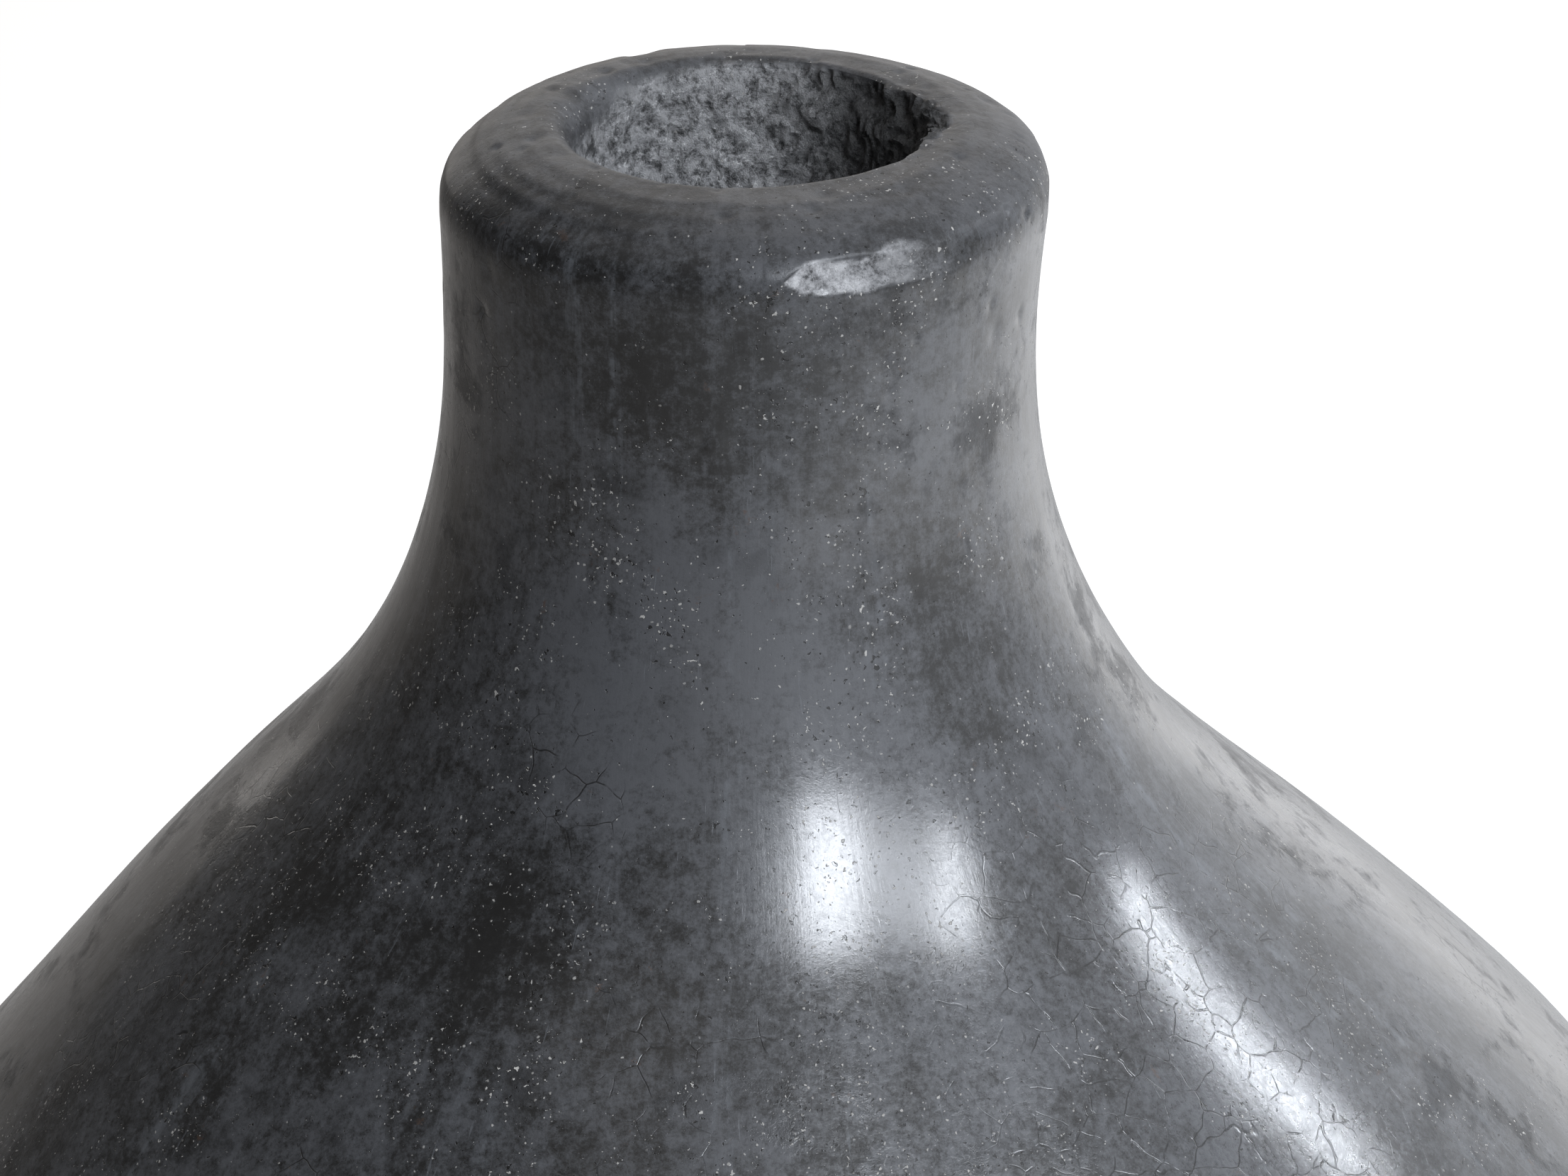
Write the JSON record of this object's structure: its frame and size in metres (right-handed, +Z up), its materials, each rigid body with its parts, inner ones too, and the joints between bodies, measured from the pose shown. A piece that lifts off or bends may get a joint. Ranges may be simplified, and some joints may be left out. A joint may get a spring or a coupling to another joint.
{
  "type": "clay pot",
  "caption": "Round-bellied black clay pot with a sloping shoulder, flared neck and thick domed rim, hollow, built of stacked clay sections.",
  "frame": {"origin": "centre of the flat foot, on the surface the pot stands on", "axes": "+Z up the pot's axis, out of the mouth"},
  "size_m": [0.336, 0.336, 0.3837],
  "materials": {
    "burnished_clay": "hand burnished, smoke-blackened, cloudy charcoal with a patchy sheen",
    "matt_clay": "unburnished, matt, gritty"
  },
  "bodies": {
    "root": {"base_pad": "matt_clay", "lower_bowl": "burnished_clay", "belly_coil_1": "burnished_clay", "belly_coil_2": "burnished_clay", "belly_coil_3": "burnished_clay", "belly_coil_4": "burnished_clay", "belly_coil_5": "burnished_clay", "shoulder_coil_1": "burnished_clay", "shoulder_coil_2": "burnished_clay", "shoulder_coil_3": "burnished_clay", "neck_foot": "burnished_clay", "neck_wall": "burnished_clay", "rim_ring": "burnished_clay"}
  },
  "joints": []
}
